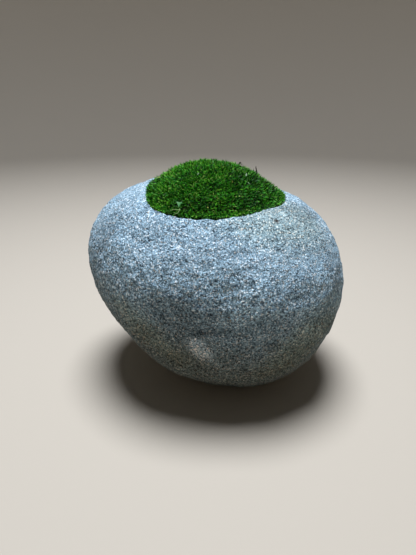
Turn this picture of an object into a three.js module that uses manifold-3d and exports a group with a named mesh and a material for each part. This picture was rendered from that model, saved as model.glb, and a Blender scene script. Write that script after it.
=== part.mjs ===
// A water-worn cobble with a hollow ground into its crown, and the cushion of moss that fills the hollow.
// Millimetres, +Z up. +X runs along the cobble's length and +Y towards its back.
// The origin is on the ground, under the middle of the cobble's length and depth.
import * as THREE from "three";
import { mergeVertices } from "three/addons/utils/BufferGeometryUtils.js";
import Module from "manifold-3d";

const wasm = await Module();
wasm.setup();

// The cobble before it was worked: a rounded block, leaning down towards +X.
const cobble = {
  halfLength: 99.5,
  halfDepth: 85,
  halfHeight: 87,
  squareness: 2.15, // 2 is an ellipsoid, and more is squarer
  lean: 14, // degrees that the long axis drops towards +X
  middle: { x: 0.45, y: 0, z: 82 }, // the middle of the block, over the ground that its base is worn flat to
  facets: 14, // cuts along each edge of the icosahedron that it is made from
};

// Swells and flats left by the water. Each faces a way given by its turn from +X towards +Y and its rise,
// fades over its spread, all in degrees, and stands out or, if negative, is worn in by its height.
const swells = [
  { turn: 190, rise: -26, spread: 38, height: -18.5 }, // the left flank, worn away underneath
  { turn: 170, rise: 20, spread: 38, height: 12 }, // the high left shoulder
  { turn: 266, rise: -50, spread: 24, height: -3.5 }, // the front foot, a little undercut
  { turn: 355, rise: 34, spread: 36, height: 3.5 }, // the right shoulder
  { turn: 110, rise: 72, spread: 44, height: -6 }, // the crown, flatter towards the back
];

// The hollow. Its rim, seen from above, is round at the left and the back and straighter at the front right,
// where it ends in a corner.
const hollow = {
  middle: { x: 0, y: -15 },
  rim: [
    [50, -14],
    [40, 10],
    [12, 25],
    [-20, 24],
    [-43, 6],
    [-49, -20],
    [-44.3, -40.1],
    [-27.5, -52],
    [-4, -55.4],
    [18, -50.5],
    [38, -37.5],
    [46, -29],
  ],
  depth: 30, // below the unworked crown over its middle
  wallFoot: 12, // height over the floor at which the wall stands upright
  floorFlatness: 6, // 2 is a bowl, and more has a flatter floor
  segments: 64,
  rings: 10,
};

// The moss fills the hollow and stands over the crown as a low dome, up to the tips of its shoots.
const moss = {
  gap: 0.3, // clear of the stone all round
  edgeRise: 1, // over the unworked crown at the rim
  rise: 15, // over the unworked crown at the middle
  leftFall: 0.9, // how the dome falls to the rim at its -X end: 0.5 is round, and more is gentler
  rightFall: 1.1, // the same at its +X end
};

// A pale leaflet caught in the moss by the front of the rim, on its foot and facing outwards.
const leaflet = {
  length: 4.5,
  halfWidth: 1.8,
  footHalfWidth: 0.6, // a third of the way up
  notch: 0.9, // how far the middle of its end dips
  thickness: 0.5,
  curveSegments: 6, // along each curve of its outline
  foot: { x: -24.8, y: -51.1, z: 155 },
  turn: 255,
  rise: 36,
};

// A dark bare sprig that stands up from the moss at the right.
const sprig = {
  length: 4,
  footRadius: 0.45,
  tipRadius: 0.3,
  sides: 8,
  foot: { x: 29, y: -13.7, z: 172.2 },
  turn: 150, // the way it tips
  rise: 80, // from level
};

const bisections = 40; // halvings that find a height on the crown
const weldDistance = 1e-4; // vertices closer than this are one

const degrees = THREE.MathUtils.degToRad;

function facing(turn, rise) {
  return new THREE.Vector3(1, 0, 0)
    .applyAxisAngle(new THREE.Vector3(0, -1, 0), degrees(rise))
    .applyAxisAngle(new THREE.Vector3(0, 0, 1), degrees(turn));
}

const longAxis = facing(0, -cobble.lean);
const shortAxis = facing(0, 90 - cobble.lean);
const swellFacings = swells.map(({ turn, rise }) => facing(turn, rise));

const hollowMiddle = new THREE.Vector3(hollow.middle.x, hollow.middle.y, 0);
const rim = new THREE.CatmullRomCurve3(
  hollow.rim.map(([x, y]) => new THREE.Vector3(x, y, 0)),
  true,
);
const hollowHalfLength = Math.max(...hollow.rim.map(([x]) => x)) - hollow.middle.x;

// Distance from the middle of the block to its surface in a direction.
function surfaceRadius(direction) {
  const along = Math.abs(direction.dot(longAxis)) / cobble.halfLength;
  const across = Math.abs(direction.y) / cobble.halfDepth;
  const up = Math.abs(direction.dot(shortAxis)) / cobble.halfHeight;
  const p = cobble.squareness;
  let radius = (along ** p + across ** p + up ** p) ** (-1 / p);
  swells.forEach(({ spread, height }, i) => {
    const off = direction.angleTo(swellFacings[i]) / degrees(spread);
    radius += height * Math.exp(-off * off);
  });
  return radius;
}

// Height of the unworked crown over a point of the ground.
function crownHeight(x, y) {
  const { middle, halfHeight } = cobble;
  const point = new THREE.Vector3();
  let low = 0;
  let high = 2 * halfHeight;
  for (let i = 0; i < bisections; i++) {
    const z = (low + high) / 2;
    point.set(x - middle.x, y - middle.y, z);
    if (point.length() < surfaceRadius(point.clone().normalize())) low = z;
    else high = z;
  }
  return middle.z + (low + high) / 2;
}

function asSolid(geometry) {
  const bare = geometry.clone();
  bare.deleteAttribute("normal");
  bare.deleteAttribute("uv");
  const welded = mergeVertices(bare, weldDistance);
  return new wasm.Manifold(
    new wasm.Mesh({
      numProp: 3,
      vertProperties: welded.getAttribute("position").array,
      triVerts: new Uint32Array(welded.index.array),
    }),
  );
}

function asGeometry(solid) {
  const mesh = solid.getMesh();
  const geometry = new THREE.BufferGeometry();
  geometry.setAttribute("position", new THREE.BufferAttribute(mesh.vertProperties, 3));
  geometry.setIndex(new THREE.BufferAttribute(mesh.triVerts, 1));
  geometry.computeVertexNormals();
  return geometry;
}

function reshape(geometry, place) {
  const position = geometry.getAttribute("position");
  const point = new THREE.Vector3();
  for (let i = 0; i < position.count; i++) {
    point.fromBufferAttribute(position, i);
    place(point);
    position.setXYZ(i, point.x, point.y, point.z);
  }
  return geometry;
}

function unworkedBlock() {
  const { middle, facets } = cobble;
  return reshape(new THREE.IcosahedronGeometry(1, facets), (point) => {
    point.normalize();
    point.multiplyScalar(surfaceRadius(point));
    point.add(middle);
  });
}

// A puck that fills the hollow's rim, less an inset, between a lower and an upper surface. Each surface
// gives its height over a point of the ground, from how far out the point is: 0 at the middle, 1 at the rim.
function puck(inset, lowerHeight, upperHeight) {
  const { segments, rings } = hollow;
  const parts = Array.from({ length: rings + 1 }, (_, i) => i / rings);
  const lower = parts.map((part) => new THREE.Vector2(part, 0));
  const upper = parts.map((part) => new THREE.Vector2(part, 1)).reverse();
  const geometry = new THREE.LatheGeometry([...lower, ...upper], segments).rotateX(Math.PI / 2);
  return reshape(geometry, (point) => {
    const part = Math.hypot(point.x, point.y);
    const turn = THREE.MathUtils.euclideanModulo(Math.atan2(point.y, point.x) / (2 * Math.PI), 1);
    const isUpper = point.z > 0.5; // as it is turned, the puck is 1 high
    const height = isUpper ? upperHeight : lowerHeight;
    const reach = rim.getPoint(turn).sub(hollowMiddle);
    reach.setLength(reach.length() - inset).multiplyScalar(part);
    point.copy(hollowMiddle).add(reach);
    point.z = height(part, point.x, point.y);
  });
}

// The hollow's floor, which turns up into the wall.
function bowlHeight(part) {
  const floor = crownHeight(hollow.middle.x, hollow.middle.y) - hollow.depth;
  return floor + hollow.wallFoot * part ** hollow.floorFlatness;
}

// The dome of moss over the unworked crown.
function domeHeight(part, x, y) {
  const along = (x - hollow.middle.x) / hollowHalfLength;
  const fall = THREE.MathUtils.lerp(moss.leftFall, moss.rightFall, (along + 1) / 2);
  const swell = Math.max(0, 1 - part ** 2) ** fall;
  return crownHeight(x, y) + moss.edgeRise + (moss.rise - moss.edgeRise) * swell;
}

function named(name, geometry, color, roughness) {
  const mesh = new THREE.Mesh(geometry, new THREE.MeshStandardMaterial({ color, roughness, metalness: 0 }));
  mesh.name = name;
  return mesh;
}

function makeCobble() {
  const clear = 2 * cobble.halfHeight + cobble.middle.z; // well outside the stone every way
  const ground = new THREE.BoxGeometry(2 * clear, 2 * clear, clear).translate(0, 0, -clear / 2);
  const bowl = puck(0, bowlHeight, () => clear);
  const worked = asSolid(unworkedBlock()).subtract(asSolid(ground)).subtract(asSolid(bowl));
  return named("cobble", asGeometry(worked), 0x7d868b, 0.85);
}

function makeMossCushion() {
  const cushion = puck(moss.gap, (part) => bowlHeight(part) + moss.gap, domeHeight);
  return named("moss_cushion", asGeometry(asSolid(cushion)), 0x2a5a1c, 0.95);
}

function makeLeaflet() {
  const { length, halfWidth, footHalfWidth, notch, thickness, curveSegments, foot, turn, rise } = leaflet;
  const outline = new THREE.Shape();
  outline.moveTo(0, 0);
  outline.bezierCurveTo(footHalfWidth, length / 3, halfWidth, length / 2, halfWidth, length);
  outline.quadraticCurveTo(0, length - notch, -halfWidth, length);
  outline.bezierCurveTo(-halfWidth, length / 2, -footHalfWidth, length / 3, 0, 0);
  const blade = new THREE.ExtrudeGeometry(outline, { depth: thickness, bevelEnabled: false, curveSegments });
  const mesh = named("leaflet", blade, 0x6fa27c, 0.7);
  mesh.up.set(0, 0, 1);
  mesh.position.copy(foot);
  mesh.lookAt(mesh.position.clone().add(facing(turn, rise)));
  return mesh;
}

function makeSprig() {
  const { length, footRadius, tipRadius, sides, foot, turn, rise } = sprig;
  const stick = new THREE.CylinderGeometry(tipRadius, footRadius, length, sides).translate(0, length / 2, 0);
  const mesh = named("sprig", stick, 0x1d2412, 0.8);
  mesh.position.copy(foot);
  mesh.quaternion.setFromUnitVectors(new THREE.Vector3(0, 1, 0), facing(turn, rise));
  return mesh;
}

const group = new THREE.Group();
group.add(makeCobble(), makeMossCushion(), makeLeaflet(), makeSprig());

export default group;
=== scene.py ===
# The looks of a water-worn cobble with a cushion of moss in the hollow on its crown.
import math

import bmesh
import bpy
import numpy as np
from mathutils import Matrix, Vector, kdtree, noise
from mathutils.bvhtree import BVHTree


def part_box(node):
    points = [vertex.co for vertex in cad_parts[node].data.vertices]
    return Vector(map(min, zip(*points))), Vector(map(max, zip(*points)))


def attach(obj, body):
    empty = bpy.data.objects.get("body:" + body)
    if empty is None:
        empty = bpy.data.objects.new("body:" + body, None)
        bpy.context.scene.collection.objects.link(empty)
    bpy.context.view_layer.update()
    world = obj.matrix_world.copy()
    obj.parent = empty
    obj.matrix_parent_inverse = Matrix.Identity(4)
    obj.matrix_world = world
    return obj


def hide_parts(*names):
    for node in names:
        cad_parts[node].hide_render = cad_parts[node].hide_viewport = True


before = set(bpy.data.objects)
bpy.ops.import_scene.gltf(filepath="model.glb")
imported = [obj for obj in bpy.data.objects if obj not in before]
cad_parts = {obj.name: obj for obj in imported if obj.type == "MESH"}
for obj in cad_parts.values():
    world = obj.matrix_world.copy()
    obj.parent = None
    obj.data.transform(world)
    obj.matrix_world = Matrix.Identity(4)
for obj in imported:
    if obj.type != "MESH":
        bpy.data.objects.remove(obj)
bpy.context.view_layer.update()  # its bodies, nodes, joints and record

mm = 0.001
goldenAngle = math.pi * (3 - math.sqrt(5))
bakeMap = "OFBake"  # the map on a piece made of thousands of leaves


def toLinear(hexColour):
    # "#8a9399" as the linear colour that a socket takes
    parts = [int(hexColour[i:i + 2], 16) / 255 for i in (1, 3, 5)]
    return (*[c / 12.92 if c <= 0.04045 else ((c + 0.055) / 1.055) ** 2.4 for c in parts], 1)


def addNode(tree, kind, settings=None, links=None):
    # settings are the node's own properties or its sockets' values, links are its sockets' sources
    node = tree.nodes.new(kind)
    for name, value in (settings or {}).items():
        if name == "stops":
            ramp = node.color_ramp.elements
            while len(ramp) < len(value):
                ramp.new(0.5)
            for stop, (place, colour) in zip(ramp, value):
                stop.position = place
                stop.color = toLinear(colour) if isinstance(colour, str) else (colour,) * 3 + (1,)
        elif isinstance(name, int) or name in node.inputs:
            isColour = isinstance(value, str) and value.startswith("#")
            node.inputs[name].default_value = toLinear(value) if isColour else value
        else:
            setattr(node, name, value)
    for name, source in (links or {}).items():
        tree.links.new(source, node.inputs[name])
    return node


def newMaterial(name, **shader):
    # a material with one Principled shader, set to these values, and the tree to add its pattern to
    material = bpy.data.materials.new(name)
    material.use_nodes = True
    tree = material.node_tree
    tree.nodes.clear()
    surface = addNode(tree, "ShaderNodeBsdfPrincipled", shader)
    addNode(tree, "ShaderNodeOutputMaterial", links={"Surface": surface.outputs[0]})
    return material, tree, surface


def facing(turn, rise):
    # the way that lies this many degrees round from +X and above level
    turn, rise = math.radians(turn), math.radians(rise)
    return Vector((math.cos(turn) * math.cos(rise), math.sin(turn) * math.cos(rise), math.sin(rise)))


def numbersOf(items, name, width):
    # a property of all of a mesh's points or faces, in rows of this width
    found = np.empty(len(items) * width, np.float32)
    items.foreach_get(name, found)
    return found.reshape(-1, width).astype(float)


def noiseAt(points, size, seed):
    # smooth noise between -1 and 1, whose lumps are about half this many millimetres across
    away = 17.3 * seed  # each seed has its own part of the noise
    return np.array([noise.noise(p) for p in (points / (size * mm) + away).tolist()])


def smoothStep(low, high, x):
    x = np.clip((x - low) / (high - low), 0, 1)
    return x * x * (3 - 2 * x)


def unit(vectors):
    # the same vectors 1 long, without dividing by nothing
    return vectors / np.maximum(np.linalg.norm(vectors, axis=-1, keepdims=True), 1e-12)


def addObject(name, contents):
    added = bpy.data.objects.new(name, contents)
    bpy.context.collection.objects.link(added)
    return added


def newPiece(name, mesh, material, slot, *nodes):
    # a piece of the object, which stands for these nodes of the frame
    piece = addObject(name, mesh)
    mesh.materials.clear()
    mesh.materials.append(material)
    mesh.polygons.foreach_set("use_smooth", [True] * len(mesh.polygons))
    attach(piece, "root")
    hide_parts(*nodes)


def finished(piece, *modifiers):
    # the piece's mesh with these modifiers applied, each a kind and its settings
    for kind, settings in modifiers:
        modifier = piece.modifiers.new(kind.lower(), kind)
        for name, value in settings.items():
            setattr(modifier, name, value)
    seen = piece.evaluated_get(bpy.context.evaluated_depsgraph_get())
    mesh = bpy.data.meshes.new_from_object(seen)
    piece.modifiers.clear()
    return mesh


def remeshed(nodeName, voxel, *modifiers):
    # an even copy of a node's mesh, with more modifiers on it if any
    copy = addObject("copy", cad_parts[nodeName].data.copy())
    mesh = finished(copy, ("REMESH", {"mode": "VOXEL", "voxel_size": voxel * mm}), *modifiers)
    bpy.data.objects.remove(copy)
    return mesh


def soften(mesh, points, passes, freedom):
    # each point goes towards the mean of its neighbours, by its freedom from 0 to 1
    step = 0.7  # of the way there, in one pass
    edges = np.empty(len(mesh.edges) * 2, np.int32)
    mesh.edges.foreach_get("vertices", edges)
    a, b = edges.reshape(-1, 2).T
    count = np.bincount(edges, minlength=len(points))
    for _ in range(passes):
        mean = [
            (np.bincount(a, x[b], len(x)) + np.bincount(b, x[a], len(x))) / count for x in points.T
        ]
        points = points + (np.stack(mean, 1) - points) * freedom[:, None] * step
    return points


def setPoints(mesh, points):
    mesh.vertices.foreach_set("co", points.astype(np.float32).ravel())
    mesh.update()


def addPointValues(mesh, name, values):
    layer = mesh.attributes.new(name, "FLOAT", "POINT")
    layer.data.foreach_set("value", values.astype(np.float32))


def ringMesh(name, points, around, isClosed):
    # rings of this many points, each joined to the next, with a face at either end if it is closed
    faces = []
    for ring in range(len(points) // around - 1):
        for i in range(around):
            a, b = ring * around + i, ring * around + (i + 1) % around
            faces.append((a, b, b + around, a + around))
    if isClosed:
        faces.append(tuple(range(around - 1, -1, -1)))
        faces.append(tuple(range(len(points) - around, len(points))))
    mesh = bpy.data.meshes.new(name)
    mesh.from_pydata(points, [], faces)
    return mesh


def treeOf(mesh):
    return BVHTree.FromPolygons([v.co for v in mesh.vertices], [p.vertices for p in mesh.polygons])


cobble = {
    "pointSpacing": 1.28,  # mm, between the points of its mesh
    "softening": 70,  # passes that take out the facets
    "edgeAngle": 35,  # degrees between two faces, from which their edge is one that was ground
    "edgeWidth": 2,  # mm beside a ground edge that keep their shape
    "rimWiden": 0.4,  # mm by which the rim is cut back, as the even mesh has rounded it
    "rimCut": 2,  # mm down the wall that the cut goes
    "dents": [(46, 0.7), (22, 0.6), (11, 0.55), (6, 0.48), (3.6, 0.3)],  # size and height in mm
    "flatness": (1, 1, 1.5),  # how much lower than wide the dents are
    "bandDents": (9, 1.1),  # more dents, in the rough band
    "pitSize": 6.5,  # mm
    "pitDepth": 0.45,
    "pitEdge": (0.32, 0.62),  # of the noise, where a pit starts and where it is full
    "rimWear": 0.12,  # mm, how uneven the ground rim is
    "rimWearWidth": 2.5,  # mm
    "rimWaves": [(7, 1), (3.2, 0.6)],  # size in mm and share of the wear
    "rimBlend": (1, 3),  # mm beside the rim over which dents turn from upright to square to the skin
    "baseEdge": (0.2, 4),  # mm over the ground, over which the dents grow to their height
    "markFade": (0.35, 1.15),  # where a mark starts to fade and where it is gone, with 1 at its edge
    "markRaggedness": 0.22,
    # Marks: the turn and rise at which each is seen from the cobble's middle, its tilt from level, its
    # length and width in mm, and what it does. A depth is in mm, and below 0 the mark stands out. A tone
    # is painted light or, below 0, painted shade. The rest make the stone yellower and less blue.
    "marks": {
        "scar": (262.2, -12.2, -48, 27, 19, {"depth": 0.4}),
        "brow": (262, 21, -6, 120, 50, {"depth": -2}),
        "belly": (304, 13, 5, 95, 48, {"depth": -2.2}),
        "hip": (246, -12, -20, 80, 58, {"depth": 4.8}),
        "shelf": (262, 5, -20, 105, 17, {"depth": 1}),
        "roughBand": (264, 3, -14, 130, 40, {}),
        "groove": (284, 9, -38, 26, 5, {"depth": 0.45}),
        "crease": (207, 24, 62, 42, 8, {"depth": 0.9}),
        "leftNick": (251, 12.5, -35, 13, 4.5, {"depth": 0.8}),
        "middleNick": (266, 1, 22, 15, 4.5, {"depth": 0.8}),
        "rightNick": (280, -1, -8, 10, 5, {"depth": 1}),
        "stain": (239, 49.3, 0, 4, 2.5, {}),
        "speck": (309, 46, -40, 5, 3.2, {"depth": 0.4}),
        "ledge": (288, 27, 4, 55, 24, {"depth": -1.2}),
        # these tones are painted light and painted shade on the flanks, ends, shoulder and rim
        "shadedFlank": (252.1, 5.5, -8, 62, 52, {"tone": -0.24}),
        "litFlank": (284.3, 13.7, 0, 34, 30, {"tone": 0.2}),
        "shadedEnd": (324.6, -4.8, -60, 48, 30, {"depth": -1.8, "tone": -0.26}),
        "shadedShoulder": (205.2, 34.3, 60, 50, 30, {"tone": -0.17}),
        "shadedRim": (335.9, 43.8, -25, 48, 22, {"tone": -0.27}),
        "litBand": (293.6, 36.1, 0, 52, 14, {"tone": 0.12}),
        "shadedSide": (331.2, 15.5, -80, 50, 30, {"tone": -0.24}),
        "shadedTip": (205.9, 18.9, 75, 60, 22, {"tone": -0.18}),
        "yellowerShoulder": (314.5, 46, -22, 115, 56, {"film": 0.75}),
        "yellowerEnd": (314, -10, 35, 90, 46, {"film": 1}),
        "yellowerTip": (236.5, -9, -45, 85, 36, {"film": 0.9}),
    },
    "crystalSize": 0.5,  # mm
    "cloudSize": 1.5,
    "cloudShare": 0.3,  # of the mix of crystals and clouds
    "crystalColours": [
        (0.12, "#2a3a46"), (0.32, "#637d90"), (0.52, "#8fafc2"), (0.74, "#b1d0e0"), (0.9, "#d3e8f3"),
    ],
    "fleckSize": 0.8,
    "fleckStrength": 0.85,
    "flecks": {  # for each channel of the scatter, the share of the stone and the colour
        "Red": (0.10, "#222c33"),
        "Green": (0.075, "#f2fafd"),
        "Blue": (0.006, "#b5a997"),
    },
    "shades": [(5, 0.91, 1.15), (15, 0.9, 1.08), (45, 0.95, 1.05)],  # size in mm, darkest and lightest
    "dustSize": 30,  # mm
    "dust": "#9aacb5",
    "dustShare": (0.0, 0.18),  # of the crown's colour, where there is least and most dust
    "film": "#fff7e4",  # what its colour is multiplied by where it is made yellower
    "foot": "#9a8b79",  # the same towards its foot: painted shade with a warm cast of bounced light
    "footShadeBottom": 55,  # mm, below which the painted shade on the foot is full
    "footShadeTop": 140,  # mm, above which there is no painted shade
    "footShadeWave": 30,  # mm by which those lines wander
    "footShadeSlope": 0.12,  # how much lower the painted shade reaches for each length towards +X
    "bruise": (3.0, 2.85, 2.95),  # what its colour is multiplied by in the bruise
    "stainColour": "#352b24",
    "skinSize": 1.7,  # mm
    "skinDepth": 1.25,
    "steep": (0.3, 0.7),  # how far up the skin faces where it is steep and where it is level
    "pitShadeAndGrainLight": (0.43, 1.63),  # what its colour is multiplied by where steep: painted shade in the pits, painted highlight on the grains
}


def sharpEdges():
    # points along the ground edges of the cobble: the rim of its hollow and the edge of its base
    spacing = 0.5 * mm
    shape = bmesh.new()
    shape.from_mesh(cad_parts["cobble"].data)
    bmesh.ops.remove_doubles(shape, verts=shape.verts, dist=0.01 * mm)
    places = []
    for edge in shape.edges:
        if edge.is_manifold and edge.calc_face_angle() > math.radians(cobble["edgeAngle"]):
            a, b = [v.co for v in edge.verts]
            steps = max(1, round((b - a).length / spacing))
            places += [a.lerp(b, i / steps) for i in range(steps)]
    shape.free()
    return places


def edgeTree():
    # the same points, to be asked how far away the nearest is
    places = sharpEdges()
    tree = kdtree.KDTree(len(places))
    for i, place in enumerate(places):
        tree.insert(place, i)
    tree.balance()
    return tree


def rimCutter():
    # an upright plug a little wider than the hollow, which cuts its rim clean
    low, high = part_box("moss_cushion")
    middle = (low + high) / 2
    rim = [place for place in sharpEdges() if place.z > low.z]
    rim.sort(key=lambda place: math.atan2(place.y - middle.y, place.x - middle.x))
    foot = min(place.z for place in rim) - cobble["rimCut"] * mm
    top = high.z + 20 * mm  # well over the moss
    outline = []
    for place in rim:
        out = Vector((place.x - middle.x, place.y - middle.y, 0))
        wider = out * (1 + cobble["rimWiden"] * mm / out.length)
        outline.append(Vector((middle.x, middle.y, 0)) + wider)
    points = [(p.x, p.y, z) for z in (foot, top) for p in outline]
    return addObject("rim cutter", ringMesh("rim cutter", points, len(outline), True))


def markMask(points, tree, middle, mark, seed):
    # 1 in the middle of a mark and 0 past its edge, which is ragged by lumps a third as wide as it
    turn, rise, tilt, length, width, _ = mark
    way = facing(turn, rise)
    outside = middle + way * 0.5  # half a metre out
    place, normal, *_ = tree.ray_cast(outside, -way)
    level = Vector((0, 0, 1)).cross(normal).normalized()
    up = normal.cross(level)
    tilt = math.radians(tilt)
    along = level * math.cos(tilt) + up * math.sin(tilt)
    across = up * math.cos(tilt) - level * math.sin(tilt)
    away = points - np.array(place)
    u = away @ np.array(along) / (length / 2 * mm)
    v = away @ np.array(across) / (width / 2 * mm)
    onThisSide = away @ np.array(normal) > -20 * mm  # and not right through the stone
    ragged = cobble["markRaggedness"] * noiseAt(points, width / 1.6, seed)
    reach = np.hypot(u, v) + ragged
    return np.where(onThisSide, 1 - smoothStep(*cobble["markFade"], reach), 0)


def cobbleStone():
    # Andesite, a fine-grained volcanic stone, rolled in a river: evenly pitted and quite matt, with
    # blue-grey crystals, some dark and some nearly white, dusty on its top, with painted shade at its
    # foot.
    material, tree, surface = newMaterial(
        "riverWornAndesite", **{"Roughness": 0.9, "IOR": 1.5, "Specular IOR Level": 0.2}
    )
    place = addNode(tree, "ShaderNodeTexCoord").outputs["Object"]
    tone, film, bruise, stain = [
        addNode(tree, "ShaderNodeAttribute", {"attribute_name": name}).outputs["Fac"]
        for name in ("tone", "film", "bruise", "stain")
    ]

    # a patchwork of crystals, each with its own grey, in clouds of lighter and darker ones
    patchwork = addNode(
        tree, "ShaderNodeTexVoronoi", {"Scale": 1 / (cobble["crystalSize"] * mm)}, {"Vector": place}
    ).outputs["Color"]
    crystal = addNode(tree, "ShaderNodeSeparateColor", links={"Color": patchwork}).outputs["Red"]
    cloud = addNode(
        tree, "ShaderNodeTexNoise",
        {"Scale": 1 / (cobble["cloudSize"] * mm), "Detail": 2.0, "Roughness": 0.7}, {"Vector": place},
    ).outputs["Fac"]
    ground = addNode(
        tree, "ShaderNodeMix", {"data_type": "FLOAT", 0: cobble["cloudShare"]}, {2: crystal, 3: cloud}
    ).outputs[0]
    colour = addNode(
        tree, "ShaderNodeValToRGB", {"stops": cobble["crystalColours"]}, {"Fac": ground}
    ).outputs["Color"]

    # the single large crystals are 0.3 to 0.6 mm, and are drawn coarser so that they show
    scattered = addNode(
        tree, "ShaderNodeTexVoronoi", {"Scale": 1 / (cobble["fleckSize"] * mm)}, {"Vector": place}
    ).outputs["Color"]
    fleck = addNode(tree, "ShaderNodeSeparateColor", links={"Color": scattered}).outputs
    for channel, (share, fleckColour) in cobble["flecks"].items():
        chosen = addNode(
            tree, "ShaderNodeMapRange",
            {"From Min": 0.98 - share, "From Max": 1 - share, "To Max": cobble["fleckStrength"]},
            {"Value": fleck[channel]},
        ).outputs["Result"]
        colour = addNode(
            tree, "ShaderNodeMix", {"data_type": "RGBA", 7: fleckColour}, {0: chosen, 6: colour}
        ).outputs[2]

    # painted shade in the pits and painted highlight on the grains, on the steep flanks and not in the
    # bruise
    skin = addNode(
        tree, "ShaderNodeTexNoise",
        {"Scale": 1 / (cobble["skinSize"] * mm), "Detail": 2.0, "Roughness": 0.6}, {"Vector": place},
    ).outputs["Fac"]
    upward = addNode(
        tree, "ShaderNodeSeparateXYZ",
        links={"Vector": addNode(tree, "ShaderNodeNewGeometry").outputs["Normal"]},
    ).outputs["Z"]
    wall, level = cobble["steep"]
    steep = addNode(
        tree, "ShaderNodeMapRange",
        {"From Min": wall, "From Max": level, "To Min": 1.0, "To Max": 0.0}, {"Value": upward},
    ).outputs["Result"]
    unbruised = addNode(
        tree, "ShaderNodeMath", {"operation": "MULTIPLY_ADD", 1: -1.0, 2: 1.0}, {0: bruise}
    ).outputs[0]
    pitShadeShare = addNode(tree, "ShaderNodeMath", {"operation": "MULTIPLY"}, {0: steep, 1: unbruised}).outputs[0]
    dark, light = cobble["pitShadeAndGrainLight"]
    pitShading = addNode(
        tree, "ShaderNodeMapRange",
        {"From Min": 0.32, "From Max": 0.68, "To Min": dark, "To Max": light}, {"Value": skin},
    ).outputs["Result"]
    pitShaded = addNode(
        tree, "ShaderNodeVectorMath", {"operation": "SCALE"}, {0: colour, "Scale": pitShading}
    ).outputs[0]
    colour = addNode(
        tree, "ShaderNodeMix", {"data_type": "RGBA"}, {0: pitShadeShare, 6: colour, 7: pitShaded}
    ).outputs[2]

    # lumps of several sizes are paler or darker
    for size, dark, light in cobble["shades"]:
        lumps = addNode(
            tree, "ShaderNodeTexNoise", {"Scale": 1 / (size * mm), "Detail": 2.0}, {"Vector": place}
        ).outputs["Fac"]
        shade = addNode(
            tree, "ShaderNodeMapRange",
            {"From Min": 0.3, "From Max": 0.7, "To Min": dark, "To Max": light}, {"Value": lumps},
        ).outputs["Result"]
        colour = addNode(
            tree, "ShaderNodeVectorMath", {"operation": "SCALE"}, {0: colour, "Scale": shade}
        ).outputs[0]

    # dust settles on the crown in clouds, and softens its grain
    settled = addNode(
        tree, "ShaderNodeTexNoise", {"Scale": 1 / (cobble["dustSize"] * mm), "Detail": 3.0},
        {"Vector": place},
    ).outputs["Fac"]
    least, most = cobble["dustShare"]
    dusty = addNode(
        tree, "ShaderNodeMapRange",
        {"From Min": 0.42, "From Max": 0.62, "To Min": least, "To Max": most}, {"Value": settled},
    ).outputs["Result"]
    onCrown = addNode(
        tree, "ShaderNodeMath", {"operation": "MULTIPLY_ADD", 1: -1.0, 2: 1.0}, {0: steep}
    ).outputs[0]
    share = addNode(tree, "ShaderNodeMath", {"operation": "MULTIPLY"}, {0: dusty, 1: onCrown}).outputs[0]
    colour = addNode(
        tree, "ShaderNodeMix", {"data_type": "RGBA", 7: cobble["dust"]}, {0: share, 6: colour}
    ).outputs[2]

    # some marks are painted light or painted shade, and some make the stone yellower, taking some of the
    # blue out
    colour = addNode(
        tree, "ShaderNodeVectorMath", {"operation": "SCALE"}, {0: colour, "Scale": tone}
    ).outputs[0]
    colour = addNode(
        tree, "ShaderNodeMix", {"data_type": "RGBA", "blend_type": "MULTIPLY", 7: cobble["film"]},
        {0: film, 6: colour},
    ).outputs[2]

    # painted shade darkens the foot and warms it like bounced light, a little higher at the overhanging
    # end
    height = addNode(
        tree, "ShaderNodeVectorMath",
        {"operation": "DOT_PRODUCT", 1: (cobble["footShadeSlope"], 0, 1)}, {0: place},
    ).outputs["Value"]
    shadeLine = addNode(
        tree, "ShaderNodeMath", {"operation": "MULTIPLY_ADD", 1: cobble["footShadeWave"] * mm},
        {0: settled, 2: height},
    ).outputs[0]
    footShade = addNode(
        tree, "ShaderNodeMapRange",
        {
            "From Min": cobble["footShadeBottom"] * mm, "From Max": cobble["footShadeTop"] * mm,
            "To Min": 1.0, "To Max": 0.0, "interpolation_type": "SMOOTHSTEP",
        },
        {"Value": shadeLine},
    ).outputs["Result"]
    colour = addNode(
        tree, "ShaderNodeMix", {"data_type": "RGBA", "blend_type": "MULTIPLY", 7: cobble["foot"]},
        {0: footShade, 6: colour},
    ).outputs[2]

    # where the skin is bruised off, fresh stone shows, paler and warmer
    fresh = addNode(
        tree, "ShaderNodeVectorMath", {"operation": "MULTIPLY", 1: cobble["bruise"]}, {0: colour}
    ).outputs[0]
    colour = addNode(
        tree, "ShaderNodeMix", {"data_type": "RGBA"}, {0: bruise, 6: colour, 7: fresh}
    ).outputs[2]
    colour = addNode(
        tree, "ShaderNodeMix", {"data_type": "RGBA", 7: cobble["stainColour"]}, {0: stain, 6: colour}
    ).outputs[2]
    tree.links.new(colour, surface.inputs["Base Color"])

    # its skin is pitted all over, and the large crystals stand a little proud
    raised = addNode(
        tree, "ShaderNodeMath", {"operation": "MULTIPLY_ADD", 1: 0.12}, {0: fleck["Red"], 2: skin}
    ).outputs[0]
    bump = addNode(
        tree, "ShaderNodeBump", {"Strength": 1.0, "Distance": cobble["skinDepth"] * mm}, {"Height": raised}
    ).outputs["Normal"]
    tree.links.new(bump, surface.inputs["Normal"])
    return material


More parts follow.
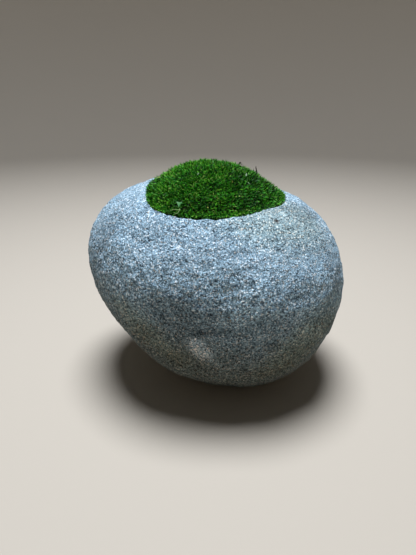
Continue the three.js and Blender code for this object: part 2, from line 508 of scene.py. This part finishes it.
def makeCobble():
    cutter = rimCutter()
    mesh = remeshed(
        "cobble", cobble["pointSpacing"],
        ("BOOLEAN", {"operation": "DIFFERENCE", "object": cutter, "solver": "MANIFOLD"}),
    )
    bpy.data.objects.remove(cutter)
    low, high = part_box("cobble")
    middle = (low + high) / 2
    edges = edgeTree()
    rough = numbersOf(mesh.vertices, "co", 3)
    fromEdge = np.array([edges.find(p)[2] for p in rough.tolist()])
    # the facets go, and the rim and the edge of the base stay
    freedom = smoothStep(cobble["edgeWidth"] * mm, 3 * cobble["edgeWidth"] * mm, fromEdge)
    points = soften(mesh, rough, cobble["softening"], freedom)
    # softening draws the whole skin in, so it is let out again by as much
    points += soften(mesh, rough - points, cobble["softening"], freedom)
    setPoints(mesh, points)
    tree = treeOf(mesh)
    masks = {
        name: markMask(points, tree, middle, mark, seed)
        for seed, (name, mark) in enumerate(cobble["marks"].items(), 11)
    }
    normals = numbersOf(mesh.vertices, "normal", 3)
    height = sum(
        depth * noiseAt(points * cobble["flatness"], size, seed)
        for seed, (size, depth) in enumerate(cobble["dents"])
    )
    height -= cobble["pitDepth"] * smoothStep(*cobble["pitEdge"], noiseAt(points, cobble["pitSize"], 7))
    size, depth = cobble["bandDents"]
    height += depth * masks["roughBand"] * noiseAt(points * cobble["flatness"], size, 6)
    rim = 1 - smoothStep(0, cobble["rimWearWidth"] * mm, fromEdge)
    waves = sum(
        share * noiseAt(points, size, seed) for seed, (size, share) in enumerate(cobble["rimWaves"], 8)
    )
    height += rim * cobble["rimWear"] * waves
    tone, film = 1, 0
    # a mark's tone is painted light or painted shade on the stone
    for name, (*_, effects) in cobble["marks"].items():
        height -= effects.get("depth", 0) * masks[name]
        tone += effects.get("tone", 0) * masks[name]
        film += effects.get("film", 0) * masks[name]
    # the base stays flat
    height *= smoothStep(*np.array(cobble["baseEdge"]) * mm, points[:, 2])
    # the wall of the hollow is ground upright, so its rim only goes up and down
    atRim = 1 - smoothStep(*cobble["rimBlend"], fromEdge / mm)[:, None]
    points += unit(normals * (1 - atRim) + [0, 0, 1] * atRim) * height[:, None] * mm
    points[:, 2] = np.where(points[:, 2] < 0.5 * mm, 0, points[:, 2])
    setPoints(mesh, points)
    addPointValues(mesh, "bruise", masks["scar"])
    addPointValues(mesh, "stain", np.maximum(masks["stain"], masks["speck"]))
    addPointValues(mesh, "tone", tone)
    addPointValues(mesh, "film", film.clip(0, 1))
    newPiece("worn_cobble", mesh, cobbleStone(), "stone", "cobble")
    print("the cobble has", len(mesh.polygons), "faces")


moss = {
    "spacing": 1.4,  # mm between shoots
    "scatter": 0.42,  # of the spacing
    "shootLength": 4.2,  # mm
    "leaves": 8,  # on each shoot
    "leafLength": (2.8, 4.6),
    "leafWidth": (0.55, 0.95),
    "lean": 0.32,  # how far shoots lean any way, as a share of their length
    "clumpSize": 9,  # mm
    "clumpHeight": 0.8,
    "crownDepth": 3.4,  # mm from the top of the cushion down to where a shoot's stem ends
    "unevenness": (-0.6, 0.9),  # mm less or more than that depth
    "rimShoots": 420,  # in the row that hangs over the rim
    "rimInset": 0.15,  # mm
    "rimReach": (0.5, 3.5),  # mm from the rim, within which shoots hang fully and at all
    "rimDepth": 1.4,
    "rimLean": 0.55,
    "rimEvenness": 0.7,
    "rimShortening": 0.25,  # of the length of its leaves
    "rimRootLight": 0.45,  # how much of the painted shade at its leaves' roots is taken away, with 1 as light as at their tips
    "firstLeaf": 0.35,  # how far up its shoot
    "leafLean": (52, 36, 10),  # degrees from the stem, how much less at its tip, and scatter
    "leafTurn": 0.3,  # radians of scatter round the stem
    "curl": (-0.05, 0.4),  # how far a leaf's tip bends outwards, as a share of its length
    "sag": (0, 0.2),  # and downwards
    "sway": 0.18,  # and to either side
    "tint": 0.34,  # the middle shoot's place among the colours of the leaves
    "tintClouds": [(16, 0.2), (5, 0.14)],  # size in mm and strength
    "tintScatter": (0.12, 0.2),  # from shoot to shoot and from leaf to leaf
    "patches": [  # place as shares of the cushion, radius in mm, and how much yellower or, below 0, darker
        ((0.2, 0.5), 17, 0.16),
        ((0.45, 0.65), 30, 0.07),
        ((0.85, 0.3), 32, -0.13),
        ((0.1, 0.2), 16, 0.06),
    ],
    "leafColours": [
        (0.0, "#0a4a1e"), (0.22, "#168016"), (0.45, "#2dab10"), (0.7, "#72ca22"), (1.0, "#cfe680"),
    ],
    "tip": "#a9d65e",
    "bedDepth": 4.8,  # mm from the tips down to the matted stems
    "bedSpacing": 1.4,  # mm, between the points of its mesh
    "bedInset": 0.5,  # mm in from the wall of the hollow
    "bedUnevenness": 0.9,
    "bedLumpSize": 4,
    "bedFoot": 10,  # mm over the floor of the hollow at which the bed is fully pressed down
    "stemSize": 1.1,  # mm, coarser than in life so that the stems show
}


def mossLeaf():
    # Cushion moss, alive and moist: thin folded leaves with a satin face, darker down among the stems as
    # older leaf and painted shade, a fresher green at the tips, partly a painted highlight, from bluish to
    # olive per shoot.
    material, tree, surface = newMaterial(
        "livingCushionMoss", **{
            "Roughness": 0.55, "IOR": 1.45, "Specular IOR Level": 0.25,
            "Sheen Weight": 0.12, "Sheen Roughness": 0.4, "Sheen Tint": "#a8d690",
        }
    )
    tint = addNode(tree, "ShaderNodeAttribute", {"attribute_name": "tint"}).outputs["Fac"]
    along = addNode(tree, "ShaderNodeAttribute", {"attribute_name": "alongLeaf"}).outputs["Fac"]
    green = addNode(
        tree, "ShaderNodeValToRGB", {"stops": moss["leafColours"]}, {"Fac": tint}
    ).outputs["Color"]
    # each leaf darkens towards its root: partly older leaf, partly painted shade among the stems
    rootShadeAndAge = addNode(
        tree, "ShaderNodeValToRGB", {"stops": [(0.0, 0.04), (0.4, 0.33), (0.85, 1.0)]}, {"Fac": along}
    ).outputs["Color"]
    blade = addNode(
        tree, "ShaderNodeVectorMath", {"operation": "MULTIPLY"}, {0: green, 1: rootShadeAndAge}
    ).outputs[0]
    # the tips turn a paler yellow-green: partly fresh growth, partly a painted highlight
    atTip = addNode(
        tree, "ShaderNodeMapRange", {"From Min": 0.75, "From Max": 1.0, "To Max": 0.5}, {"Value": along}
    ).outputs["Result"]
    colour = addNode(
        tree, "ShaderNodeMix", {"data_type": "RGBA", 7: moss["tip"]}, {0: atTip, 6: blade}
    ).outputs[2]
    tree.links.new(colour, surface.inputs["Base Color"])
    return material


def mossBedMatter():
    # Old stems and rootlets matted together, brown-green and without gloss, which read as dark gaps.
    material, tree, surface = newMaterial(
        "mattedMossStems", **{"Roughness": 0.95, "Specular IOR Level": 0.2}
    )
    place = addNode(tree, "ShaderNodeTexCoord").outputs["Object"]
    strands = addNode(
        tree, "ShaderNodeTexNoise",
        {"Scale": 1 / (moss["stemSize"] * mm), "Detail": 4.0, "Distortion": 1.5},
        {"Vector": place},
    ).outputs["Fac"]
    colour = addNode(
        tree, "ShaderNodeValToRGB", {"stops": [(0.3, "#0d1407"), (0.55, "#1b2a0e"), (0.75, "#33351a")]},
        {"Fac": strands},
    ).outputs["Color"]
    tree.links.new(colour, surface.inputs["Base Color"])
    bump = addNode(
        tree, "ShaderNodeBump", {"Strength": 0.9, "Distance": 0.6 * mm}, {"Height": strands}
    ).outputs["Normal"]
    tree.links.new(bump, surface.inputs["Normal"])
    return material


def makeMossBed():
    # the cushion a little smaller, and pressed down between its foot and its top
    mesh = remeshed("moss_cushion", moss["bedSpacing"])
    low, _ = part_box("moss_cushion")
    points = numbersOf(mesh.vertices, "co", 3)
    points -= numbersOf(mesh.vertices, "normal", 3) * moss["bedInset"] * mm
    pressed = moss["bedDepth"] + moss["bedUnevenness"] * noiseAt(points, moss["bedLumpSize"], 3)
    points[:, 2] -= pressed * mm * smoothStep(0, moss["bedFoot"] * mm, points[:, 2] - low.z)
    setPoints(mesh, points)
    newPiece("moss_bed", mesh, mossBedMatter(), "moss", "moss_cushion")
    print("the moss bed has", len(mesh.polygons), "faces")


def dropOn(cushion, x, y):
    # where a plumb line meets the top of the cushion, and which way the top faces there
    return cushion.ray_cast(Vector((x, y, 1)), Vector((0, 0, -1)))[:2]


def crownPlaces(cushion, random):
    # where the shoots reach the top of the cushion, in staggered rows
    low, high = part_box("moss_cushion")
    step = moss["spacing"] * mm
    rowStep = step * math.sqrt(3) / 2
    found = []
    for row in range(math.ceil((high.y - low.y) / rowStep) + 1):
        for column in range(math.ceil((high.x - low.x) / step) + 1):
            dx, dy = random.uniform(-1, 1, 2) * moss["scatter"] * step
            x = low.x + (column + 0.5 * (row % 2)) * step + dx
            place, normal = dropOn(cushion, x, low.y + row * rowStep + dy)
            if place is not None and normal.z > 0.2:  # not on its wall
                found.append((place, normal))
    return found


def rimPlaces(cushion, middle, reach):
    # the same all along the outline of the cushion
    found = []
    for i in range(moss["rimShoots"]):
        turn = 2 * math.pi * i / moss["rimShoots"]
        inside, outside = 0.0, reach
        while outside - inside > 0.2 * mm:
            radius = (inside + outside) / 2
            x, y = middle[0] + radius * math.cos(turn), middle[1] + radius * math.sin(turn)
            if dropOn(cushion, x, y)[0] is None:
                outside = radius
            else:
                inside = radius
        radius = inside - moss["rimInset"] * mm
        x, y = middle[0] + radius * math.cos(turn), middle[1] + radius * math.sin(turn)
        found.append(dropOn(cushion, x, y))
    return found


def leafMesh(name, roots, ways, bends, sides, lengths, widths, tints, rootLight):
    # folded leaves: three points across at the root and halfway, then the tip
    rings = [(0.0, 0.6), (0.5, 1.0)]  # how far up the leaf, and how much of its width
    foldDepth = 0.22  # of its width
    count = len(roots)
    points, along = [], []
    for step, share in rings:
        spine = roots + lengths[:, None] * (ways * step + bends * step**2)
        half = sides * (widths * share / 2)[:, None]
        fold = np.cross(unit(ways + 2 * bends * step), sides) * (widths * share * foldDepth)[:, None]
        points += [spine - half, spine + fold, spine + half]
        along += [step] * 3
    points.append(roots + lengths[:, None] * (ways + bends))
    along.append(1.0)
    perLeaf = len(points)
    first = np.arange(count)[:, None, None] * perLeaf
    quads = (first + [[0, 1, 4, 3], [1, 2, 5, 4]]).reshape(-1, 4)
    tips = (first + [[3, 4, 6], [4, 5, 6]]).reshape(-1, 3)
    mesh = bpy.data.meshes.new(name)
    mesh.from_pydata(np.stack(points, 1).reshape(-1, 3).tolist(), [], quads.tolist() + tips.tolist())
    tint = np.repeat(tints, perLeaf)
    # the shoots at the rim have less of the painted shade at their leaves' roots
    pale = np.repeat(rootLight, perLeaf)
    along = pale + (1 - pale) * np.tile(along, count)
    addPointValues(mesh, "tint", tint)
    addPointValues(mesh, "alongLeaf", along)
    # each leaf has its own strip on the map, placed by its tint, inside a margin
    across = np.tile([-1, 0, 1] * len(rings) + [0], count)
    strip = np.stack([0.02 + 0.96 * tint + 0.003 * across, 0.02 + 0.96 * along], 1)
    corners = np.empty(len(mesh.loops), np.int32)
    mesh.loops.foreach_get("vertex_index", corners)
    mesh.uv_layers.new(name=bakeMap).uv.foreach_set("vector", strip[corners].astype(np.float32).ravel())
    return mesh


def makeMossShoots(cushion):
    random = np.random.default_rng(4)
    low, high = [np.array(corner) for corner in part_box("moss_cushion")]
    middle, half = (low + high) / 2, (high - low) / 2
    crown = crownPlaces(cushion, random)
    rim = rimPlaces(cushion, middle, np.linalg.norm(half))
    places, normals = [np.array(column) for column in zip(*crown, *rim)]
    count = len(places)
    edges = edgeTree()
    fromEdge = np.array([edges.find(p)[2] for p in places.tolist()])
    atRim = 1 - smoothStep(*np.array(moss["rimReach"]) * mm, fromEdge)
    outward = unit((places - middle) * [1, 1, 0] / half**2)
    scatter = random.normal(0, moss["lean"], (count, 3))
    axes = unit(normals + scatter + outward * (moss["rimLean"] * atRim)[:, None])
    clumps = noiseAt(places, moss["clumpSize"], 1)
    depth = moss["crownDepth"] + (moss["rimDepth"] - moss["crownDepth"]) * atRim
    uneven = random.uniform(*moss["unevenness"], count) - clumps * moss["clumpHeight"]
    depth += uneven * (1 - moss["rimEvenness"] * atRim)
    tops = places - normals * depth[:, None] * mm
    shootScatter, leafScatter = moss["tintScatter"]
    tints = np.full(count, moss["tint"])
    for seed, (size, strength) in enumerate(moss["tintClouds"], 2):
        tints += strength * noiseAt(places, size, seed)
    tints += random.normal(0, shootScatter, count)
    for place, radius, tint in moss["patches"]:
        away = np.linalg.norm((places - low)[:, :2] - np.array(place) * (high - low)[:2], axis=1)
        tints += tint * (1 - smoothStep(0.3, 1.0, away / (radius * mm)))

    perShoot = moss["leaves"]
    which = np.repeat(np.arange(count), perShoot)
    rank = np.tile(np.arange(perShoot), count)
    total = len(which)
    rise = moss["firstLeaf"] + (1 - moss["firstLeaf"]) * rank / (perShoot - 1)
    roots = tops[which] - axes[which] * ((1 - rise) * moss["shootLength"] * mm)[:, None]
    turn = rank * goldenAngle + random.uniform(0, 2 * math.pi, count)[which]
    turn += random.normal(0, moss["leafTurn"], total)
    level = unit(np.cross(axes, [0.3, 0.2, 1.0]))
    other = np.cross(axes, level)
    out = level[which] * np.cos(turn)[:, None] + other[which] * np.sin(turn)[:, None]
    atFoot, lessAtTip, leanScatter = moss["leafLean"]
    lean = np.radians(atFoot - lessAtTip * rise + random.normal(0, leanScatter, total))[:, None]
    sides = unit(np.cross(axes[which], out))
    bends = out * random.uniform(*moss["curl"], total)[:, None]
    bends -= axes[which] * random.uniform(*moss["sag"], total)[:, None]
    shorter = moss["rimShortening"] * atRim[which]
    leaves = {
        "roots": roots,
        "ways": axes[which] * np.cos(lean) + out * np.sin(lean),
        "bends": bends + sides * random.normal(0, moss["sway"], total)[:, None],
        "sides": sides,
        "lengths": random.uniform(*moss["leafLength"], total) * mm * (1 - shorter),
        "widths": random.uniform(*moss["leafWidth"], total) * mm,
        "tints": (tints[which] + random.normal(0, leafScatter, total)).clip(0, 0.97),
        "rootLight": moss["rimRootLight"] * atRim[which],
    }

    material = mossLeaf()
    quarters = {"front_left": (-1, -1), "front_right": (1, -1), "back_left": (-1, 1), "back_right": (1, 1)}
    right = (places[which, 0] > middle[0]) * 2 - 1
    back = (places[which, 1] > middle[1]) * 2 - 1
    for name, (wantedRight, wantedBack) in quarters.items():
        here = (right == wantedRight) & (back == wantedBack)
        mesh = leafMesh(name, **{part: values[here] for part, values in leaves.items()})
        newPiece("moss_shoots_" + name, mesh, material, "moss", "moss_cushion")
        print("moss shoots,", name.replace("_", " ") + ":", here.sum(), "leaves")


leaflet = {
    "turn": 255,  # the way it faces
    "rise": 36,
    "length": 5,  # mm
    "halfAngle": 28,  # degrees, of the fan on either side of its midrib
    "notch": 0.19,  # of its length, cut into its end
    "footShare": 0.16,  # of its length, where the fan starts
    "footSpread": 0.35,  # of the fan's angle, at its foot
    "corners": 0.08,  # of its length, taken off its rounded corners
    "cup": 0.5,  # mm that its sides stand forward
    "arch": 0.35,  # how far it arches along its length, as a share of the cup
    "ribSharpness": 5,
    "columns": 15,  # points across
    "rows": 9,  # points along
    "thickness": 0.22,  # mm
    "bloomSize": 0.65,  # mm, coarser than in life so that it shows
    "below": 2.25,  # mm from the middle of the solid down to its foot
    "forward": 0.9,  # mm that it stands in front of the solid, clear of the moss
    "shade": "#376f3c",
    "blade": "#4f8f52",
    "midrib": "#6fa868",
}

sprig = {
    "footRadius": 0.45,  # mm
    "tipRadius": 0.28,
    "sunk": 1.5,  # mm that its foot goes down into the moss
    "crook": 0.22,  # mm that it bends towards +X and back
    "crookSlant": 0.6,  # of that, towards +Y
    "crookWave": 5.5,  # radians, from its foot to its tip
    "buds": [(0.72, 0.3), (0.42, 0.2)],  # how far up, and how much thicker
    "budSpread": 0.05,
    "sides": 10,
    "rings": 14,
    "streakWidth": 0.3,  # mm, coarser than in life so that the streaks show
    "streakLength": 5,  # of their width
    "bark": "#1b1a14",
    "worn": "#3b3a2e",
}

# Threads of moss by the leaflet's foot. Each has corners in mm along the rim, up the moss and out of it.
threads = {
    "radius": 0.22,  # mm
    "taper": 0.6,  # how much thinner at the tip
    "sides": 8,
    "rounds": 3,  # of cutting the corners
    "streakSize": 0.7,  # mm, coarser than in life so that the streaks show
    "paths": {
        "curled_moss_thread": [
            (0.3, 1.0, 0.2), (0.1, -0.6, 0.6), (-0.4, -2.2, 0.9), (-1.2, -3.1, 1.1), (-2.6, -3.1, 1.0),
            (-3.4, -2.2, 0.3),
        ],
        "straight_moss_thread": [
            (0.7, -0.1, 0.3), (-1.2, -0.6, 0.9), (-3.2, -0.2, 1.1), (-5.0, -0.9, 0.9), (-6.2, -0.6, 0.1),
        ],
    },
    "dry": "#6f9450",
    "tip": "#93b070",
}

# Dead leaves, tufts and flecks caught among the shoots.
dryLeaves = {
    "above": 0.1,  # mm over the tips of the shoots
    "upright": 0.55,  # how far they stand square to the moss
    "scatter": 0.55,  # how far they lean any way
    "droop": 0.2,
    "veinSize": 0.55,  # mm, coarser than in life so that the veins show
    "tints": {"pale": 0.12, "straw": 0.45, "brown": 0.64, "dark": 0.9},  # places among the colours
    "colours": [(0.15, "#b9d3bb"), (0.4, "#9dbb8e"), (0.6, "#94a03e"), (0.8, "#6f6a2c"), (1.0, "#23301a")],
    "leaves": [
        # place as shares of the cushion, length and width in mm, tint
        ((0.70, 0.34), 2.6, 1.1, "pale"),
        ((0.71, 0.28), 2.2, 0.8, "pale"),
        ((0.865, 0.33), 2.4, 1.2, "pale"),
        ((0.365, 0.26), 2.2, 0.9, "pale"),
        ((0.10, 0.42), 3.0, 0.9, "straw"),
        ((0.16, 0.55), 2.8, 0.9, "straw"),
        ((0.60, 0.22), 2.0, 0.9, "straw"),
        ((0.485, 0.02), 2.6, 1.1, "brown"),
        ((0.44, 0.04), 2.4, 0.9, "straw"),
        ((0.55, 0.55), 2.4, 0.9, "straw"),
        ((0.35, 0.75), 2.6, 1.0, "pale"),
        ((0.75, 0.70), 2.2, 1.0, "brown"),
        ((0.665, 0.575), 2.6, 1.2, "dark"),
        ((0.675, 0.585), 2.4, 1.1, "dark"),
        ((0.67, 0.565), 2.2, 1.2, "dark"),
    ],
}


def dryLeafMatter():
    # Dead moss leaves, bleached by light and quite papery: chalky grey-green, straw and brown.
    material, tree, surface = newMaterial(
        "bleachedMossLeaf", **{"Roughness": 0.6, "Specular IOR Level": 0.35}
    )
    tint = addNode(tree, "ShaderNodeAttribute", {"attribute_name": "tint"}).outputs["Fac"]
    place = addNode(tree, "ShaderNodeTexCoord").outputs["Object"]
    veins = addNode(
        tree, "ShaderNodeTexNoise", {"Scale": 1 / (dryLeaves["veinSize"] * mm), "Detail": 2.0},
        {"Vector": place},
    ).outputs["Fac"]
    mottled = addNode(
        tree, "ShaderNodeMath", {"operation": "MULTIPLY_ADD", 1: 0.3}, {0: veins, 2: tint}
    ).outputs[0]
    colour = addNode(
        tree, "ShaderNodeValToRGB", {"stops": dryLeaves["colours"]}, {"Fac": mottled}
    ).outputs["Color"]
    tree.links.new(colour, surface.inputs["Base Color"])
    return material


def onMoss(cushion, place, above):
    # a point over the moss, at these shares of its length and depth, and which way its top faces there
    low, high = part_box("moss_cushion")
    x = low.x + (high.x - low.x) * place[0]
    y = low.y + (high.y - low.y) * place[1]
    found, normal = dropOn(cushion, x, y)
    if found is None:
        found, normal, *_ = cushion.find_nearest(Vector((x, y, high.z)))
    return found + normal * above * mm, normal


def makeDryLeaves(cushion):
    random = np.random.default_rng(12)
    rows = []
    for place, length, width, tint in dryLeaves["leaves"]:
        foot, normal = onMoss(cushion, place, dryLeaves["above"])
        scatter = Vector(random.normal(0, dryLeaves["scatter"], 3))
        way = (normal * dryLeaves["upright"] + scatter).normalized()
        bend = normal * -dryLeaves["droop"]
        side = way.cross(normal).normalized()
        rows.append((foot, way, bend, side, length * mm, width * mm, dryLeaves["tints"][tint], 0))
    mesh = leafMesh("dry leaves", *[np.array(column) for column in zip(*rows)])
    newPiece("dry_moss_leaves", mesh, dryLeafMatter(), "moss", "moss_cushion")
    print("dry leaves:", len(rows))


def tube(name, spine, radii, sides):
    # a closed round tube along a list of points
    spine = np.array(spine)
    ways = unit(np.gradient(spine, axis=0))
    level = unit(np.cross(ways, [0.31, 0.87, 0.38]))  # a way that no tube here runs along
    other = np.cross(ways, level)
    turns = np.arange(sides) * 2 * math.pi / sides
    rings = spine[:, None] + np.array(radii)[:, None, None] * (
        level[:, None] * np.cos(turns)[:, None] + other[:, None] * np.sin(turns)[:, None]
    )
    return ringMesh(name, rings.reshape(-1, 3).tolist(), sides, True)


def makeThreads(cushion):
    low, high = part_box("leaflet")
    foot, normal, *_ = cushion.find_nearest(Vector(((low.x + high.x) / 2, low.y, low.z)))
    level = Vector((1, 0, 0))
    up = normal.cross(level).normalized()

    # Dead moss stems, thin, dry and satiny, straw-green and paler in streaks.
    material, tree, surface = newMaterial("dryMossThread", **{"Roughness": 0.6, "Specular IOR Level": 0.3})
    place = addNode(tree, "ShaderNodeTexCoord").outputs["Object"]
    streaks = addNode(
        tree, "ShaderNodeTexNoise", {"Scale": 1 / (threads["streakSize"] * mm), "Detail": 2.0},
        {"Vector": place},
    ).outputs["Fac"]
    colour = addNode(
        tree, "ShaderNodeValToRGB", {"stops": [(0.35, threads["dry"]), (0.65, threads["tip"])]},
        {"Fac": streaks},
    ).outputs["Color"]
    tree.links.new(colour, surface.inputs["Base Color"])
    for name, corners in threads["paths"].items():
        path = np.array(corners)
        for _ in range(threads["rounds"]):
            cut = np.stack([path[:-1] * 0.75 + path[1:] * 0.25, path[:-1] * 0.25 + path[1:] * 0.75], 1)
            path = np.concatenate([path[:1], cut.reshape(-1, 3), path[-1:]])
        spine = np.array(foot) + path @ np.array([level, up, normal]) * mm
        taper = 1 - threads["taper"] * np.linspace(0, 1, len(path)) ** 2
        radii = threads["radius"] * taper * mm
        newPiece(name, tube(name, spine, radii, threads["sides"]), material, "moss", "moss_cushion")
    print("moss threads:", len(threads["paths"]))


def makeLeaflet():
    low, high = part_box("leaflet")
    face = facing(leaflet["turn"], leaflet["rise"])
    up = (Vector((0, 0, 1)) - face * face.z).normalized()
    side = up.cross(face)
    length = leaflet["length"] * mm
    foot = (low + high) / 2 - up * leaflet["below"] * mm + face * leaflet["forward"] * mm
    columns, rows = leaflet["columns"], leaflet["rows"]
    points, faces, ribs = [], [], []
    for row in range(rows):
        for column in range(columns):
            out = 2 * column / (columns - 1) - 1
            part = leaflet["footShare"] + (1 - leaflet["footShare"]) * row / (rows - 1)
            spread = leaflet["footSpread"] + (1 - leaflet["footSpread"]) * part
            angle = math.radians(leaflet["halfAngle"]) * out * spread
            # the notch grows towards the end, and the corners are rounded off
            notch = leaflet["notch"] * (1 - abs(out)) ** 1.3 * part**3
            reach = part * length * (1 - notch - leaflet["corners"] * out**4)
            cup = leaflet["cup"] * mm * (out**2 * part + leaflet["arch"] * math.sin(part * 2.6))
            across = side * math.sin(angle) * reach
            points.append(foot + up * math.cos(angle) * reach + across + face * cup)
            ribs.append(max(0, 1 - abs(out) * leaflet["ribSharpness"] * part))
    for row in range(rows - 1):
        for column in range(columns - 1):
            a = row * columns + column
            faces.append((a, a + 1, a + columns + 1, a + columns))
    mesh = bpy.data.meshes.new("leaflet blade")
    mesh.from_pydata(points, [], faces)
    addPointValues(mesh, "rib", np.array(ribs))
    blade = addObject("blade", mesh)
    mesh = finished(
        blade,
        ("SOLIDIFY", {"thickness": leaflet["thickness"] * mm, "offset": 0.0}),
        ("SUBSURF", {"levels": 1}),
    )
    bpy.data.objects.remove(blade)

    # A fresh clover leaflet: thin, with a matt bloom, blue-green, and a paler midrib.
    material, tree, surface = newMaterial(
        "freshCloverLeaf", **{"Roughness": 0.55, "Specular IOR Level": 0.35}
    )
    rib = addNode(tree, "ShaderNodeAttribute", {"attribute_name": "rib"}).outputs["Fac"]
    place = addNode(tree, "ShaderNodeTexCoord").outputs["Object"]
    bloom = addNode(
        tree, "ShaderNodeTexNoise", {"Scale": 1 / (leaflet["bloomSize"] * mm), "Detail": 3.0},
        {"Vector": place},
    ).outputs["Fac"]
    blades = addNode(
        tree, "ShaderNodeValToRGB", {"stops": [(0.35, leaflet["shade"]), (0.65, leaflet["blade"])]},
        {"Fac": bloom},
    ).outputs["Color"]
    colour = addNode(
        tree, "ShaderNodeMix", {"data_type": "RGBA", 7: leaflet["midrib"]}, {0: rib, 6: blades}
    ).outputs[2]
    tree.links.new(colour, surface.inputs["Base Color"])
    bump = addNode(
        tree, "ShaderNodeBump", {"Strength": 0.5, "Distance": 0.1 * mm}, {"Height": bloom}
    ).outputs["Normal"]
    tree.links.new(bump, surface.inputs["Normal"])
    newPiece("clover_leaflet", mesh, material, "leaflet", "leaflet")
    print("the leaflet has", len(mesh.polygons), "faces")


def makeSprig():
    low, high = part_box("sprig")
    inFoot, inTip = sprig["footRadius"], sprig["tipRadius"]
    foot = Vector((high.x, low.y, low.z)) + Vector((-inFoot, inFoot, -sprig["sunk"])) * mm
    top = Vector((low.x, high.y, high.z)) + Vector((inTip, -inTip, 0)) * mm
    spine, radii = [], []
    for i in range(sprig["rings"] + 1):
        part = i / sprig["rings"]
        crook = sprig["crook"] * mm * math.sin(part * sprig["crookWave"])
        spine.append(foot.lerp(top, part) + Vector((crook, sprig["crookSlant"] * crook, 0)))
        bud = sum(
            size * math.exp(-((part - place) / sprig["budSpread"]) ** 2) for place, size in sprig["buds"]
        )
        taper = inFoot + (inTip - inFoot) * part
        radii.append(taper * (1 + bud) * mm)
    radii[-1] *= 0.75  # a worn tip

    # Dead twig bark, dark from damp, dry and matt, with fine streaks along it.
    material, tree, surface = newMaterial("deadTwigBark", **{"Roughness": 0.8, "Specular IOR Level": 0.3})
    place = addNode(tree, "ShaderNodeTexCoord").outputs["Object"]
    stretched = addNode(
        tree, "ShaderNodeVectorMath",
        {"operation": "MULTIPLY", 1: (1.0, 1.0, 1 / sprig["streakLength"])}, {0: place},
    ).outputs[0]
    streaks = addNode(
        tree, "ShaderNodeTexNoise", {"Scale": 1 / (sprig["streakWidth"] * mm), "Detail": 3.0},
        {"Vector": stretched},
    ).outputs["Fac"]
    colour = addNode(
        tree, "ShaderNodeValToRGB", {"stops": [(0.4, sprig["bark"]), (0.7, sprig["worn"])]},
        {"Fac": streaks},
    ).outputs["Color"]
    tree.links.new(colour, surface.inputs["Base Color"])
    bump = addNode(
        tree, "ShaderNodeBump", {"Strength": 0.8, "Distance": 0.1 * mm}, {"Height": streaks}
    ).outputs["Normal"]
    tree.links.new(bump, surface.inputs["Normal"])
    newPiece("dead_sprig", tube("sprig", spine, radii, sprig["sides"]), material, "sprig", "sprig")
    print("the sprig has", sprig["rings"], "rings")


stage = {
    "floorRadius": 1400,  # mm
    "sweepRadius": 600,
    "wallHeight": 2200,
    "floor": "#bfb6a8",
    "lamp": "#eff5ff",
    "lampPlace": (-25, 40, 1250),  # mm
    "lampSize": 550,
    "lampPower": 24.5,
    "sky": "#d6e4f6",
    "skyStrength": 0.09,
}


def makeStage():
    # a round paper sweep: a floor that curves up into a wall on all sides
    profile = [(0.02, 0.0), (stage["floorRadius"], 0.0)]
    bends = 12
    for i in range(1, bends + 1):
        turn = math.pi / 2 * i / bends
        profile.append((
            stage["floorRadius"] + stage["sweepRadius"] * math.sin(turn),
            stage["sweepRadius"] * (1 - math.cos(turn)),
        ))
    profile.append((stage["floorRadius"] + stage["sweepRadius"], stage["wallHeight"]))
    around = 96
    points = []
    for radius, height in profile:
        for i in range(around):
            turn = 2 * math.pi * i / around
            points.append((radius * math.cos(turn) * mm, radius * math.sin(turn) * mm, height * mm))
    mesh = ringMesh("sweep", points, around, False)
    mesh.polygons.foreach_set("use_smooth", [True] * len(mesh.polygons))
    sweep = addObject("sweep", mesh)
    paper, *_ = newMaterial(
        "paleBackdropPaper", **{"Base Color": stage["floor"], "Roughness": 0.95}
    )
    mesh.materials.append(paper)

    lamp = bpy.data.lights.new("overheadSoftbox", "AREA")
    lamp.shape = "DISK"
    lamp.size = stage["lampSize"] * mm
    lamp.energy = stage["lampPower"]
    lamp.color = toLinear(stage["lamp"])[:3]
    addObject("overheadSoftbox", lamp).location = Vector(stage["lampPlace"]) * mm

    world = bpy.data.worlds.new("paleSky")
    world.use_nodes = True
    background = world.node_tree.nodes["Background"]
    background.inputs["Color"].default_value = toLinear(stage["sky"])
    background.inputs["Strength"].default_value = stage["skyStrength"]
    bpy.context.scene.world = world
    bpy.context.scene.view_settings.view_transform = "Standard"
    print("the stage is set")


camera = {
    "aim": (-5.7, 0, 84),  # mm
    "distance": 345,  # mm
    "down": 24,  # degrees that it looks down
    "lens": 27.05,  # mm, on a sensor 36 mm long
}


def makeCamera():
    eye = bpy.data.cameras.new("camera")
    eye.lens = camera["lens"]
    eye.clip_start = 0.01
    holder = addObject("camera", eye)
    back = -facing(90, -camera["down"])
    holder.location = (Vector(camera["aim"]) + back * camera["distance"]) * mm
    holder.rotation_euler = (math.radians(90 - camera["down"]), 0, 0)
    bpy.context.scene.camera = holder
    print("the camera looks down by", camera["down"], "degrees")


makeCamera()
makeStage()
makeCobble()
mossTop = treeOf(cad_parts["moss_cushion"].data)
makeMossBed()
makeMossShoots(mossTop)
makeDryLeaves(mossTop)
makeThreads(mossTop)
makeLeaflet()
makeSprig()
